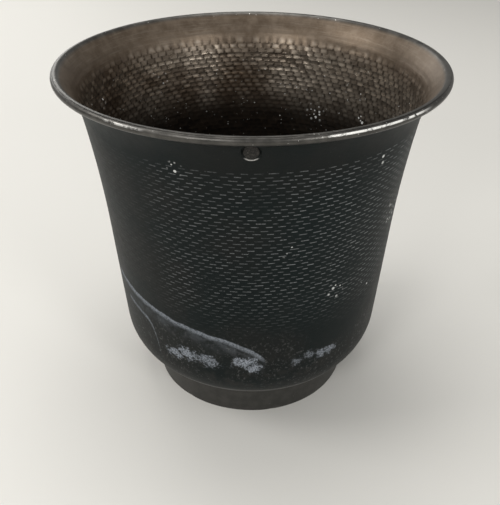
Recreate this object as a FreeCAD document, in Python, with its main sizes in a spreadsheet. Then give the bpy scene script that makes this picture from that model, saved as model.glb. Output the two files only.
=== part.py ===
import FreeCAD, Part
import os
import re
from math import atan2, cos, pi, radians, sin, tan

import Sketcher
from FreeCAD import Placement, Rotation, Vector

# An open vessel raised from one sheet of iron: a flat bottom, a round corner, a wall that
# leans out a little, and a lip that flares and has its edge rolled over a wire. It stands on
# a ring brazed to its underside. At the front a rivet plugs a hole in the lip.
# Frame: origin at the centre of the foot's lower edge, +Z up the axis, front at -Y.
# A lean is the angle between the wall and the upright; it grows towards the rim.

doc = FreeCAD.newDocument("hammered_vessel")

# ---- driving dimensions, in millimetres and degrees -----------------------------------------

SIZES = [
    ("rim_radius", 148.7, "axis to the outside of the rolled edge"),
    ("rim_height", 283.0, "lower edge of the foot to the top of the rolled edge"),
    ("sheet", 1.5, "thickness of the raised sheet"),
    ("bottom_height", 22.0, "lower edge of the foot to the underside of the bottom"),
    ("corner_radius", 45.5, "outside radius where the bottom turns up into the wall"),
    ("wall_lean", 3.9, "lean of the straight part of the wall"),
    ("bend_radius", 1054.0, "outside radius of the long bend above it"),
    ("bend_lean", 9.1, "lean of the wall where the lip starts to flare"),
    ("flare_radius", 58.1, "outside radius of the flared lip"),
    ("flare_lean", 42.9, "lean of the lip where its edge starts to roll"),
    ("wire_radius", 1.5, "radius of the wire inside the rolled edge"),
    ("wire_clearance", 0.05, "gap between the wire and the sheet round it"),
    ("roll_turn", 290.0, "how far the edge turns round the wire"),
    ("foot_radius", 87.1, "outside radius of the foot ring"),
    ("foot_sheet", 2.0, "thickness of the foot ring"),
    ("foot_edge_round", 0.4, "rounding of the foot ring's lower edges"),
    ("braze_gap", 0.3, "gap between the foot ring and the bottom, filled with braze"),
    ("braze_leg", 2.5, "size of the braze fillet, inside and outside the ring"),
    ("rivet_lean", 26.5, "lean of the lip where the rivet's axis crosses it"),
    ("rivet_tilt", 10.0, "how far the rivet's axis points below the level"),
    ("seat_radius", 5.8, "radius of the cup pressed into the lip for the rivet"),
    ("seat_depth", 2.0, "depth of the cup's floor, along the rivet's axis"),
    ("head_radius", 5.0, "radius of the rivet's flat head"),
    ("head_thickness", 0.8, "thickness of the rivet's head"),
    ("shank_radius", 2.5, "radius of the rivet's shank"),
    ("shank_clearance", 0.05, "gap round the rivet's shank"),
    ("tail_radius", 4.2, "radius of the hammered tail, inside the vessel"),
    ("tail_height", 1.2, "height of the hammered tail"),
]
NAMES = {name for name, value, meaning in SIZES}

sheet = doc.addObject("Spreadsheet::Sheet", "sizes")
for row, (name, value, meaning) in enumerate(SIZES, start=1):
    sheet.set(f"A{row}", name)
    sheet.set(f"B{row}", str(value))
    sheet.set(f"C{row}", meaning)
    sheet.setAlias(f"B{row}", name)
doc.recompute()


def size(name):
    """One cell's value, for placing a sketch's edges before its dimensions hold them."""
    return float(sheet.get(name))


def from_sheet(formula):
    """The formula with each cell's name in the form that an expression takes."""
    return re.sub(r"[a-z_]+", lambda word: ("sizes." if word[0] in NAMES else "") + word[0], formula)


def bind(thing, formulas):
    """Tie an object's properties to formulas written with the sheet's names."""
    for prop, formula in formulas.items():
        thing.setExpression(prop, from_sheet(formula))


def measured(sketch, kind, where):
    """What a dimension reads as its edges are first placed."""
    if len(where) == 1:
        edge = sketch.Geometry[where[0]]
        if kind == "Radius":
            return edge.Radius
        if isinstance(edge, Part.LineSegment):
            return atan2(edge.EndPoint.y - edge.StartPoint.y, edge.EndPoint.x - edge.StartPoint.x)
        return edge.LastParameter - edge.FirstParameter
    across = sketch.getPoint(*where[2:]) - sketch.getPoint(*where[:2])
    return across.x if kind == "DistanceX" else across.y


def dimension(sketch, formula, kind, *where, name=""):
    """A sketch dimension tied to a formula, or, given a name instead, one that only measures."""
    reading = measured(sketch, kind, where)
    index = sketch.addConstraint(Sketcher.Constraint(kind, *where, reading))
    if name:
        sketch.setDriving(index, False)
        sketch.renameConstraint(index, name)
    else:
        sketch.setExpression(f"Constraints[{index}]", from_sheet(formula))


# ---- values that several pieces share, as formulas ------------------------------------------

ROLL = "(wire_radius + wire_clearance)"
ROLL_RADIAL = f"(rim_radius - sheet - {ROLL})"
ROLL_HEIGHT = f"(rim_height - sheet - {ROLL})"
FLARE_RADIAL = f"({ROLL_RADIAL} + (flare_radius - {ROLL}) * cos(flare_lean))"
FLARE_HEIGHT = f"({ROLL_HEIGHT} - (flare_radius - {ROLL}) * sin(flare_lean))"
RIVET_RADIAL = f"({FLARE_RADIAL} - flare_radius * cos(rivet_lean))"
RIVET_HEIGHT = f"({FLARE_HEIGHT} + flare_radius * sin(rivet_lean))"
FOOT_INSIDE = "(foot_radius - foot_sheet)"


def underside(radial):
    """Height of the vessel's underside at a distance from the axis, as a formula."""
    past_flat = f"max(0; {radial} - form_outline.Constraints.flat_radius / 1mm)"
    return f"(bottom_height + corner_radius - sqrt(corner_radius ^ 2 - {past_flat} ^ 2))"


# ---- the outside of the vessel, in the half plane through the axis --------------------------

START, END, CENTRE = 1, 2, 3
ORIGIN = (-1, 1)
UPRIGHT_AXIS = -2
BOTTOM_EDGE, TURN_EDGE, FLARE_EDGE = 0, 1, 4


def square_out(point, distance, lean):
    """A point moved outwards, square to a wall with that lean."""
    return Vector(point.x + distance * cos(lean), point.y - distance * sin(lean), 0)


def arc(centre, radius, start_angle, end_angle):
    circle = Part.Circle(centre, Vector(0, 0, 1), radius)
    return Part.ArcOfCircle(circle, start_angle, end_angle)


def draw_outline(name):
    """Underside, corner, wall, long bend and flare, each running smoothly into the next."""
    wall_lean = radians(size("wall_lean"))
    bend_lean = radians(size("bend_lean"))
    flare_lean = radians(size("flare_lean"))
    roll = size("wire_radius") + size("wire_clearance")
    to_roll = size("sheet") + roll
    roll_centre = Vector(size("rim_radius") - to_roll, size("rim_height") - to_roll, 0)
    flare_centre = square_out(roll_centre, size("flare_radius") - roll, flare_lean)
    bend_centre = square_out(flare_centre, size("bend_radius") - size("flare_radius"), bend_lean)
    wall_top = square_out(bend_centre, -size("bend_radius"), wall_lean)
    corner = size("corner_radius")
    corner_height = size("bottom_height") + corner
    wall_rise = wall_top.y - (corner_height - corner * sin(wall_lean))
    wall_foot = Vector(wall_top.x - wall_rise * tan(wall_lean), wall_top.y - wall_rise, 0)
    corner_centre = square_out(wall_foot, -corner, wall_lean)

    sketch = doc.addObject("Sketcher::SketchObject", name)
    sketch.Placement = Placement(Vector(), Rotation(Vector(1, 0, 0), 90))
    middle = Vector(0, size("bottom_height"), 0)
    flat_edge = Vector(corner_centre.x, size("bottom_height"), 0)
    bottom = sketch.addGeometry(Part.LineSegment(middle, flat_edge), False)
    turn = sketch.addGeometry(arc(corner_centre, corner, -pi / 2, -wall_lean), False)
    wall = sketch.addGeometry(Part.LineSegment(wall_foot, wall_top), False)
    bend_arc = arc(bend_centre, size("bend_radius"), pi - bend_lean, pi - wall_lean)
    bend = sketch.addGeometry(bend_arc, False)
    flare_arc = arc(flare_centre, size("flare_radius"), pi - flare_lean, pi - bend_lean)
    flare = sketch.addGeometry(flare_arc, False)

    # each edge is tangent to the next; an arc that bulges inwards starts at its upper end
    joints = [(bottom, END, turn, START), (turn, END, wall, START), (wall, END, bend, END),
              (bend, START, flare, END)]
    for joint in joints:
        sketch.addConstraint(Sketcher.Constraint("Tangent", *joint))
    sketch.addConstraint(Sketcher.Constraint("PointOnObject", bottom, START, UPRIGHT_AXIS))
    sketch.addConstraint(Sketcher.Constraint("Horizontal", bottom))
    dimension(sketch, "bottom_height", "DistanceY", *ORIGIN, bottom, START)
    dimension(sketch, "corner_radius", "Radius", turn)
    dimension(sketch, "90 - wall_lean", "Angle", wall)
    dimension(sketch, "bend_radius", "Radius", bend)
    dimension(sketch, "bend_lean - wall_lean", "Angle", bend)
    dimension(sketch, "flare_radius", "Radius", flare)
    dimension(sketch, "flare_lean - bend_lean", "Angle", flare)
    return sketch, roll_centre


def make_form():
    """The vessel's outside as one filled solid, up to the start of the roll: a tool that
    trims what is fitted to it."""
    sketch, roll_centre = draw_outline("form_outline")
    lip = sketch.Geometry[FLARE_EDGE].StartPoint
    axis_top = Vector(0, lip.y, 0)
    axis_foot = Vector(0, size("bottom_height"), 0)
    cover = sketch.addGeometry(Part.LineSegment(lip, axis_top), False)
    core = sketch.addGeometry(Part.LineSegment(axis_top, axis_foot), False)
    sketch.addConstraint(Sketcher.Constraint("Coincident", FLARE_EDGE, START, cover, START))
    sketch.addConstraint(Sketcher.Constraint("Coincident", cover, END, core, START))
    sketch.addConstraint(Sketcher.Constraint("Coincident", core, END, BOTTOM_EDGE, START))
    sketch.addConstraint(Sketcher.Constraint("Horizontal", cover))
    sketch.addConstraint(Sketcher.Constraint("Vertical", core))
    dimension(sketch, FLARE_RADIAL, "DistanceX", *ORIGIN, FLARE_EDGE, CENTRE)
    dimension(sketch, FLARE_HEIGHT, "DistanceY", *ORIGIN, FLARE_EDGE, CENTRE)
    dimension(sketch, "", "DistanceX", *ORIGIN, TURN_EDGE, CENTRE, name="flat_radius")
    return revolved("form", sketch)


def revolved(name, section):
    """A section turned once round the vessel's axis."""
    solid = doc.addObject("Part::Revolution", name)
    solid.Source = section
    solid.Axis = Vector(0, 0, 1)
    solid.Base = Vector()
    solid.Angle = 360
    solid.Solid = True
    return solid


# ---- boolean helpers ------------------------------------------------------------------------

def cut(name, base, tool):
    result = doc.addObject("Part::Cut", name)
    result.Base = base
    result.Tool = tool
    return result


def common(name, base, tool):
    result = doc.addObject("Part::Common", name)
    result.Base = base
    result.Tool = tool
    return result


def fuse(name, *pieces):
    result = doc.addObject("Part::MultiFuse", name)
    result.Shapes = list(pieces)
    return result


def cylinder(name, formulas):
    solid = doc.addObject("Part::Cylinder", name)
    bind(solid, formulas)
    return solid


# ---- the sub-parts --------------------------------------------------------------------------

def set_in_lip(thing, depth):
    """Turn an object's own +Z to point out along the rivet's axis, and start it at that depth
    under the lip's surface."""
    thing.Placement = Placement(Vector(), Rotation(Vector(1, 0, 0), 90))
    bind(thing, {
        "Placement.Rotation.Angle": "90 + rivet_tilt",
        "Placement.Base.y": f"{depth} * cos(rivet_tilt) - {RIVET_RADIAL}",
        "Placement.Base.z": f"{depth} * sin(rivet_tilt) + {RIVET_HEIGHT}",
    })


def make_body(form):
    """The raised sheet: its outline is given its thickness and turned about the axis, and a
    round cup with a hole in its floor is pressed into the lip."""
    sketch, roll_centre = draw_outline("sheet_outline")
    roll = size("wire_radius") + size("wire_clearance")
    roll_start = pi - radians(size("flare_lean"))
    roll_arc = arc(roll_centre, roll, roll_start - radians(size("roll_turn")), roll_start)
    rolled = sketch.addGeometry(roll_arc, False)
    sketch.addConstraint(Sketcher.Constraint("Tangent", FLARE_EDGE, START, rolled, END))
    dimension(sketch, ROLL, "Radius", rolled)
    dimension(sketch, "roll_turn", "Angle", rolled)
    dimension(sketch, ROLL_RADIAL, "DistanceX", *ORIGIN, rolled, CENTRE)
    dimension(sketch, ROLL_HEIGHT, "DistanceY", *ORIGIN, rolled, CENTRE)

    thick = doc.addObject("Part::Offset2D", "sheet_section")
    thick.Source = sketch
    thick.Mode = "Skin"
    thick.Fill = True
    bind(thick, {"Value": "sheet"})
    raised = revolved("raised_sheet", thick)

    reach = "4 * seat_depth"
    swelling = cylinder("cup_blank", {
        "Radius": "seat_radius + sheet",
        "Height": f"seat_depth + sheet + {reach}",
    })
    set_in_lip(swelling, "(seat_depth + sheet)")
    pocket = cylinder("cup_inside", {"Radius": "seat_radius", "Height": f"seat_depth + {reach}"})
    set_in_lip(pocket, "seat_depth")
    hole = cylinder("rivet_hole", {
        "Radius": "shank_radius + shank_clearance",
        "Height": "2 * (seat_depth + sheet)",
    })
    set_in_lip(hole, "2 * (seat_depth + sheet)")
    with_cup = fuse("sheet_with_cup", raised, common("cup_outside", swelling, form))
    return cut("body", cut("sheet_with_seat", with_cup, pocket), hole)


def make_rim_wire():
    """The wire ring that the edge is rolled over."""
    wire = doc.addObject("Part::Torus", "rim_wire")
    bind(wire, {
        "Radius1": ROLL_RADIAL,
        "Radius2": "wire_radius",
        "Placement.Base.z": ROLL_HEIGHT,
    })
    return wire


def make_foot_ring(form):
    """A plain band on edge. Its upper edge follows the underside, one braze gap below it."""
    band = doc.addObject("PartDesign::Body", "foot_band")
    upright = next(o for o in band.Origin.OriginFeatures if o.Role == "XZ_Plane")
    section = band.newObject("Sketcher::SketchObject", "foot_section")
    section.AttachmentSupport = [(upright, "")]
    section.MapMode = "FlatFace"
    inside = size("foot_radius") - size("foot_sheet")
    outside = size("foot_radius")
    top = size("bottom_height") + size("corner_radius")
    corners = [Vector(inside, 0, 0), Vector(outside, 0, 0), Vector(outside, top, 0),
               Vector(inside, top, 0)]
    for index, corner in enumerate(corners):
        section.addGeometry(Part.LineSegment(corner, corners[(index + 1) % len(corners)]), False)
    for index in range(len(corners)):
        meeting = (index, END, (index + 1) % len(corners), START)
        section.addConstraint(Sketcher.Constraint("Coincident", *meeting))
    lower, outer, upper, inner = range(4)
    for edge in (lower, upper):
        section.addConstraint(Sketcher.Constraint("Horizontal", edge))
    for edge in (outer, inner):
        section.addConstraint(Sketcher.Constraint("Vertical", edge))
    section.addConstraint(Sketcher.Constraint("PointOnObject", lower, START, -1))
    dimension(section, "foot_radius", "DistanceX", *ORIGIN, lower, END)
    dimension(section, "foot_sheet", "DistanceX", lower, START, lower, END)
    dimension(section, "bottom_height + corner_radius", "DistanceY", outer, START, outer, END)
    turned = band.newObject("PartDesign::Revolution", "foot_blank")
    turned.Profile = section
    turned.ReferenceAxis = (section, ["V_Axis"])
    turned.Angle = 360
    doc.recompute()
    lower_edges = [f"Edge{index}" for index, edge in enumerate(turned.Shape.Edges, start=1)
                   if edge.BoundBox.ZMax < size("foot_edge_round") and len(edge.Vertexes) == 1]
    rounded = band.newObject("PartDesign::Fillet", "foot_rounding")
    rounded.Base = (turned, lower_edges)
    bind(rounded, {"Radius": "foot_edge_round"})
    lowered = revolved("form_lowered", form.Source)
    bind(lowered, {"Placement.Base.z": "-braze_gap"})
    return cut("foot_ring", band, lowered)


def make_foot_braze(form, ring):
    """The braze that runs through the gap over the ring and stands as a sloping fillet on
    both sides of it."""
    outer = doc.addObject("Part::Cone", "braze_outside")
    bind(outer, {
        "Radius1": "foot_radius",
        "Radius2": "foot_radius + 2 * braze_leg",
        "Height": "2 * braze_leg",
        "Placement.Base.z": f"{underside('foot_radius')} - braze_leg",
    })
    inner = doc.addObject("Part::Cone", "braze_inside")
    bind(inner, {
        "Radius1": FOOT_INSIDE,
        "Radius2": f"{FOOT_INSIDE} - 2 * braze_leg",
        "Height": "2 * braze_leg",
        "Placement.Base.z": f"{underside(FOOT_INSIDE)} - braze_leg",
    })
    outer_part = cut("braze_over_ring", cut("braze_opened", outer, inner), ring)
    return cut("foot_braze", outer_part, form)


def make_rim_rivet():
    """A flat-headed rivet: the head lies in the cup, the shank fills the hole and the tail is
    hammered flat against the cup's inner face."""
    tail = cylinder("rivet_tail", {"Radius": "tail_radius", "Height": "tail_height"})
    shank = cylinder("rivet_shank", {"Radius": "shank_radius", "Height": "tail_height + sheet"})
    head = cylinder("rivet_head", {
        "Radius": "head_radius",
        "Height": "head_thickness",
        "Placement.Base.z": "tail_height + sheet",
    })
    rivet = fuse("rim_rivet", tail, shank, head)
    set_in_lip(rivet, "(seat_depth + sheet + tail_height)")
    return rivet


form = make_form()
foot_ring = make_foot_ring(form)
subparts = [make_body(form), make_rim_wire(), foot_ring, make_foot_braze(form, foot_ring),
            make_rim_rivet()]
for subpart in subparts:
    subpart.Label = subpart.Name
doc.recompute()

# ---- checks, then one file for each sub-part ------------------------------------------------

for thing in doc.Objects:
    if "Invalid" in thing.State or "Error" in thing.State:
        raise RuntimeError(f"{thing.Name} failed: {thing.State}")
for subpart in subparts:
    shape = subpart.Shape
    if shape.isNull() or not shape.isValid() or len(shape.Solids) != 1:
        raise RuntimeError(f"{subpart.Label} isn't one valid solid")

os.makedirs("parts", exist_ok=True)
for subpart in subparts:
    subpart.Shape.exportStep(f"parts/{subpart.Label}.step")
    box = subpart.Shape.optimalBoundingBox(False)
    volume = subpart.Shape.Volume / 1000
    print(f"{subpart.Label}: {box.XLength:.2f} x {box.YLength:.2f} x {box.ZLength:.2f} mm, "
          f"from z {box.ZMin:.2f} to {box.ZMax:.2f}, {volume:.2f} cm3")
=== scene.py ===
# %% [markdown]
# # A hammered black vessel with a wired edge and a foot ring
# The real object is one sheet of iron, raised with a hammer into a round pot. Its lip flares
# and its edge is rolled over a wire. It stands on a band that is brazed to its underside, and
# one rivet plugs a hole in the lip at the front. The engineering model gives every size. Here
# the same pieces get the marks of their making and the skin of their age.

# %% The frame
from math import cos, pi, radians, sin, sqrt, tan
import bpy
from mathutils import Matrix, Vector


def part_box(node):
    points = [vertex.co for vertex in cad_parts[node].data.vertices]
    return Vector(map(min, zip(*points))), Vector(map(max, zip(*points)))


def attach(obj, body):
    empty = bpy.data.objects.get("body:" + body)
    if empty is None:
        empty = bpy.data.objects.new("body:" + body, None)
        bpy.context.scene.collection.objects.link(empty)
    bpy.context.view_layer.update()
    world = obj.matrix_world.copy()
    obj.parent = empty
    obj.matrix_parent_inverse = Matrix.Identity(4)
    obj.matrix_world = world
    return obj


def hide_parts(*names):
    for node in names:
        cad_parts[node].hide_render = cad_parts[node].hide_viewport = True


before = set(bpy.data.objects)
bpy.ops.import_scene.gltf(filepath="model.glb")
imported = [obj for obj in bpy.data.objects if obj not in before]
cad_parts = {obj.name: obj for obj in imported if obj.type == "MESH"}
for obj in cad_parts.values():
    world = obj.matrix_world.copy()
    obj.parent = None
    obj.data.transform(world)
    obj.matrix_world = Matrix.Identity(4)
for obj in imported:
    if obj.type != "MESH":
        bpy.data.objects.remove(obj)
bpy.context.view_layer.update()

from types import SimpleNamespace

import bpy
import numpy as np
from mathutils import Matrix, Vector

MM = 0.001
bpy.ops.object.select_all(action="DESELECT")

# %% [markdown]
# ## Sizes
# The outline is five smooth stretches: a flat bottom, a round corner, a straight wall with a
# little lean, a long gentle bend and a tighter flare. A lean is measured from the upright.
# Where the frame can tell a size, it is asked: the rim's radius and height, the bottom's height
# and the foot's radius. The bends and leans are set here, and the rivet's place follows from
# them and is compared with the frame's.

# %% Sizes, in metres and radians
body_low, body_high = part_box("body")
foot_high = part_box("foot_ring")[1]
rivet_low, rivet_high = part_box("rim_rivet")

SHEET = 1.5 * MM
RIM_RADIUS = body_high.x
RIM_HEIGHT = body_high.z
BOTTOM_HEIGHT = body_low.z
CORNER_RADIUS = 45.5 * MM
BEND_RADIUS = 1054 * MM
FLARE_RADIUS = 58.1 * MM
WALL_LEAN = radians(3.9)
BEND_LEAN = radians(9.1)
FLARE_LEAN = radians(42.9)
WIRE_GAP_RADIUS = 1.55 * MM
ROLL_TURN = radians(290)
FOOT_RADIUS = foot_high.x
FOOT_SHEET = 2 * MM


def square_out(point, distance, lean):
    """A point of the outline moved outwards, square to a wall with that lean."""
    return Vector((point.x + distance * cos(lean), point.y - distance * sin(lean)))


to_roll = SHEET + WIRE_GAP_RADIUS
roll_centre = Vector((RIM_RADIUS - to_roll, RIM_HEIGHT - to_roll))
flare_centre = square_out(roll_centre, FLARE_RADIUS - WIRE_GAP_RADIUS, FLARE_LEAN)
bend_centre = square_out(flare_centre, BEND_RADIUS - FLARE_RADIUS, BEND_LEAN)
wall_top = square_out(bend_centre, -BEND_RADIUS, WALL_LEAN)
wall_foot_height = BOTTOM_HEIGHT + CORNER_RADIUS * (1 - sin(WALL_LEAN))
wall_foot_radial = wall_top.x - (wall_top.y - wall_foot_height) * tan(WALL_LEAN)
corner_centre = square_out(Vector((wall_foot_radial, wall_foot_height)), -CORNER_RADIUS, WALL_LEAN)
print(f"corner centre {corner_centre.x / MM:.1f}, wall top {wall_top.y / MM:.1f} mm")

# %% [markdown]
# ## Camera
# The vessel is seen from in front and above, from about two thirds of a metre. There is no
# depth of field and no shift, so any other view can be taken with the same lens.

# %% Camera
CAMERA_PLACE = Vector((0, -0.5077, 0.4390))
CAMERA_DOWN = radians(33.06)
CAMERA_ROLL = radians(0.22)
CAMERA_PAN = radians(-0.09)
LENS = 48.15

camera_data = bpy.data.cameras.new("camera")
camera_data.lens = LENS
camera_data.sensor_width = 36
camera = bpy.data.objects.new("camera", camera_data)
bpy.context.collection.objects.link(camera)
turn = Matrix.Rotation(-CAMERA_PAN, 4, "Z") @ Matrix.Rotation(pi / 2 - CAMERA_DOWN, 4, "X")
camera.matrix_world = Matrix.Translation(CAMERA_PLACE) @ turn @ Matrix.Rotation(CAMERA_ROLL, 4, "Z")
bpy.context.scene.camera = camera
print(f"camera {CAMERA_PLACE.length:.2f} m from the middle of the floor")

# %% [markdown]
# ## Floor and light
# A pale floor and six wide, soft lamps: one overhead, one on each side, two in front like
# windows, and one behind. A dark, half glossy skin shows little of its own colour: what it
# shows is the room, so the room is pale all round.

# %% Floor and light


def plain_material(name, colour, roughness):
    material = bpy.data.materials.new(name)
    material.use_nodes = True
    shader = material.node_tree.nodes["Principled BSDF"]
    shader.inputs["Base Color"].default_value = (*colour, 1)
    shader.inputs["Roughness"].default_value = roughness
    return material


def soft_lamp(name, place, aim, size, power, colour):
    """A square lamp at a place, facing another place."""
    lamp = bpy.data.lights.new(name, "AREA")
    lamp.size = size
    lamp.energy = power
    lamp.color = colour
    thing = bpy.data.objects.new(name, lamp)
    bpy.context.collection.objects.link(thing)
    facing = (Vector(aim) - Vector(place)).to_track_quat("-Z", "Y")
    thing.matrix_world = Matrix.Translation(place) @ facing.to_matrix().to_4x4()


bpy.ops.mesh.primitive_plane_add(size=8, location=(0, 0, 0))
floor_plane = bpy.context.object
floor_plane.name = "floor"
floor_plane.data.materials.append(plain_material("pale_floor", (0.69, 0.68, 0.65), 0.7))

soft_lamp("overhead", (-0.1, 0.35, 1.9), (0, 0, 0.15), 1.1, 14, (1, 0.985, 0.96))
soft_lamp("from_right", (1.7, -0.5, 1.1), (0, 0, 0.2), 1.0, 3, (0.95, 0.98, 1))
soft_lamp("from_left", (-1.5, -0.1, 1.35), (0, 0, 0.25), 0.8, 12, (1, 0.985, 0.96))
soft_lamp("window_left", (-0.75, -1.45, 1.0), (0, 0, 0.25), 0.45, 9, (1, 0.99, 0.97))
soft_lamp("window_right", (1.0, -1.35, 0.95), (0, 0, 0.25), 0.4, 7, (1, 0.99, 0.97))
soft_lamp("back_wall", (-0.9, 1.6, 0.8), (0, 0, 0.25), 1.0, 7, (1, 0.99, 0.96))

world = bpy.data.worlds.new("room")
bpy.context.scene.world = world
world.use_nodes = True
world.node_tree.nodes["Background"].inputs["Color"].default_value = (0.80, 0.79, 0.76, 1)
world.node_tree.nodes["Background"].inputs["Strength"].default_value = 0.5
bpy.context.scene.view_settings.view_transform = "Standard"
lamps = [thing.data for thing in bpy.data.objects if thing.type == "LIGHT"]
print(f"{len(lamps)} lamps of {sum(lamp.energy for lamp in lamps):.0f} W in all")

# %% [markdown]
# ## A lathe of our own
# Round pieces are drawn as a chain of points beside the axis and spun once round it, as a
# potter's rib or a spinner's former would give them. The chain starts as a plane that is
# merged to one point and extruded step by step. The spin starts at the back, so that its seam
# lies where it is least seen, and each point keeps how far along the chain it lies. That
# length, called the run, is what the hammer marks and the finishes follow later.

# %% A lathe of our own
MERGE_DISTANCE = 0.004 * MM


def line(points, end, step):
    """Carry a chain straight on to a point."""
    start = points[-1]
    count = max(1, round((end - start).length / step))
    points.extend(start.lerp(end, (index + 1) / count) for index in range(count))


def arc(points, centre, radius, start, end, step):
    """Carry a chain round an arc between two directions."""
    count = max(1, round(abs(end - start) * radius / step))
    for index in range(count):
        angle = start + (end - start) * (index + 1) / count
        points.append(centre + radius * Vector((cos(angle), sin(angle))))


def lathe(name, points, columns, closed=False):
    """Spin a chain of points (distance from the axis, height) into one closed piece."""
    bpy.ops.object.select_all(action="DESELECT")
    bpy.ops.mesh.primitive_plane_add(size=MM)
    piece = bpy.context.object
    piece.name = name
    piece.data.name = name
    bpy.ops.object.mode_set(mode="EDIT")
    bpy.ops.mesh.select_mode(type="VERT")
    bpy.ops.mesh.select_all(action="SELECT")
    bpy.ops.mesh.merge(type="CENTER")
    bpy.ops.transform.translate(value=(0, points[0].x, points[0].y))
    for here, there in zip(points, points[1:]):
        step = there - here
        bpy.ops.mesh.extrude_vertices_move(TRANSFORM_OT_translate={"value": (0, step.x, step.y)})
    bpy.ops.object.mode_set(mode="OBJECT")
    steps = [(there - here).length for here, there in zip(points, points[1:])]
    run = piece.data.attributes.new("run", "FLOAT", "POINT")
    run.data.foreach_set("value", np.concatenate(([0], np.cumsum(steps))))
    bpy.ops.object.mode_set(mode="EDIT")
    bpy.ops.mesh.select_all(action="SELECT")
    if closed:
        bpy.ops.mesh.remove_doubles(threshold=MERGE_DISTANCE)
    bpy.ops.mesh.spin(steps=columns, angle=2 * pi, center=(0, 0, 0), axis=(0, 0, 1))
    bpy.ops.mesh.select_all(action="SELECT")
    bpy.ops.mesh.remove_doubles(threshold=MERGE_DISTANCE)
    bpy.ops.mesh.normals_make_consistent(inside=False)
    bpy.ops.mesh.select_all(action="DESELECT")
    bpy.ops.object.mode_set(mode="OBJECT")
    print(f"{name}: {len(piece.data.polygons)} faces, run {sum(steps) / MM:.0f} mm")
    return piece


def read_points(piece, what="co"):
    """The place of each of a piece's points, or its normal, as an array."""
    values = np.empty(len(piece.data.vertices) * 3)
    piece.data.vertices.foreach_get(what, values)
    return values.reshape(-1, 3)


def read_run(piece):
    """How far along the chain each of a piece's points lies."""
    run = np.empty(len(piece.data.vertices))
    piece.data.attributes["run"].data.foreach_get("value", run)
    return run


def write_points(piece, places):
    """Move a piece's points to new places."""
    piece.data.vertices.foreach_set("co", places.ravel())
    piece.data.update()


def rise(value, low, high):
    """0 below low, 1 above high and an even S between them."""
    share = np.clip((value - low) / (high - low), 0, 1)
    return share * share * (3 - 2 * share)


def scatter(row, column, salt):
    """A fixed number from 0 to 1 for each row, column and salt, the same in every run."""
    mixed = np.sin(row * 12.9898 + column * 78.233 + salt * 37.719) * 43758.5453
    return mixed - np.floor(mixed)


# %% [markdown]
# ## The raised sheet
# The section goes up the outside, round the wire, over the raw edge and back down the inside,
# so the spun piece is closed and has its real thickness. Where the hammer worked, its rows are
# close enough together to carry a dent for each blow.

# %% The raised sheet
COLUMNS = 312
OUTER_STEP = 1.9 * MM
INNER_STEP = 1.333 * MM
ROLL_START = pi - FLARE_LEAN
ROLL_END = ROLL_START - ROLL_TURN
edge_radius = WIRE_GAP_RADIUS + SHEET

outline = [Vector((0, BOTTOM_HEIGHT))]
line(outline, Vector((corner_centre.x, BOTTOM_HEIGHT)), 9 * MM)
arc(outline, corner_centre, CORNER_RADIUS, -pi / 2, -WALL_LEAN, 4 * MM)
line(outline, wall_top, 2.4 * MM)
arc(outline, bend_centre, BEND_RADIUS, pi - WALL_LEAN, pi - BEND_LEAN, OUTER_STEP)
arc(outline, flare_centre, FLARE_RADIUS, pi - BEND_LEAN, ROLL_START, 2.6 * MM)
lip_index = len(outline)
arc(outline, roll_centre, WIRE_GAP_RADIUS, ROLL_START, ROLL_END, 0.9 * MM)
raw_edge = Vector((cos(ROLL_END), sin(ROLL_END)))
line(outline, roll_centre + edge_radius * 0.97 * raw_edge, 0.7 * MM)
arc(outline, roll_centre, edge_radius, ROLL_END + radians(5), ROLL_START, 1.0 * MM)
bead_index = len(outline)
arc(outline, flare_centre, FLARE_RADIUS + SHEET, ROLL_START, pi - BEND_LEAN, 2.0 * MM)
arc(outline, bend_centre, BEND_RADIUS + SHEET, pi - BEND_LEAN, pi - WALL_LEAN, INNER_STEP)
line(outline, square_out(Vector((wall_foot_radial, wall_foot_height)), -SHEET, WALL_LEAN), 2.0 * MM)
arc(outline, corner_centre, CORNER_RADIUS - SHEET, -WALL_LEAN, -pi / 2, 4 * MM)
line(outline, Vector((0, BOTTOM_HEIGHT + SHEET)), 9 * MM)


def run_to(index):
    """How far along the chain one of its points lies."""
    pairs = zip(outline[:index], outline[1:index + 1])
    return sum((there - here).length for here, there in pairs)


LIP_RUN = run_to(lip_index - 1)
BEAD_RUN = run_to(bead_index - 1)
vessel = lathe("vessel", outline, COLUMNS)
print(f"outside ends at {LIP_RUN / MM:.1f}, inside starts at {BEAD_RUN / MM:.1f} mm of run")

# %% [markdown]
# ## Hammer marks
# Each blow from inside leaves a shallow oval dent, nearly twice as wide as it is high. The smith
# works round the pot and then moves up a row, so the dents stand in rows, and each row starts a
# third of a dent further on: the columns slant. Outside the same work shows as low, flat
# ripples. A dent is a product of two parabolas, so that its border is a ridge that catches the
# light. Every dent differs a little in depth and tilt. The top row, where the hammer's long
# face was used, is twice as high as the others.

# %% Hammer marks
MEAN_RADIUS = 120 * MM
DENTS_ROUND = 104
DENT_HEIGHT = 3 * INNER_STEP
DENT_DEPTH = 0.5 * MM
DENT_SHIFT = 1 / 3
DENT_TILT = 0.6
DENT_LEAN = 0.5
DENTS_START = BEAD_RUN + 19.5 * MM
DENTS_END = BEAD_RUN + 250 * MM
RIPPLES_ROUND = 84
RIPPLE_HEIGHT = 2.85 * MM
RIPPLE_DEPTH = 0.07 * MM
RIPPLE_SHIFT = 0.42
RIPPLES_START = LIP_RUN - 34 * MM
RIPPLES_FADE = (120 * MM, 190 * MM)
OUT_OF_ROUND = 0.22 * MM


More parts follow.
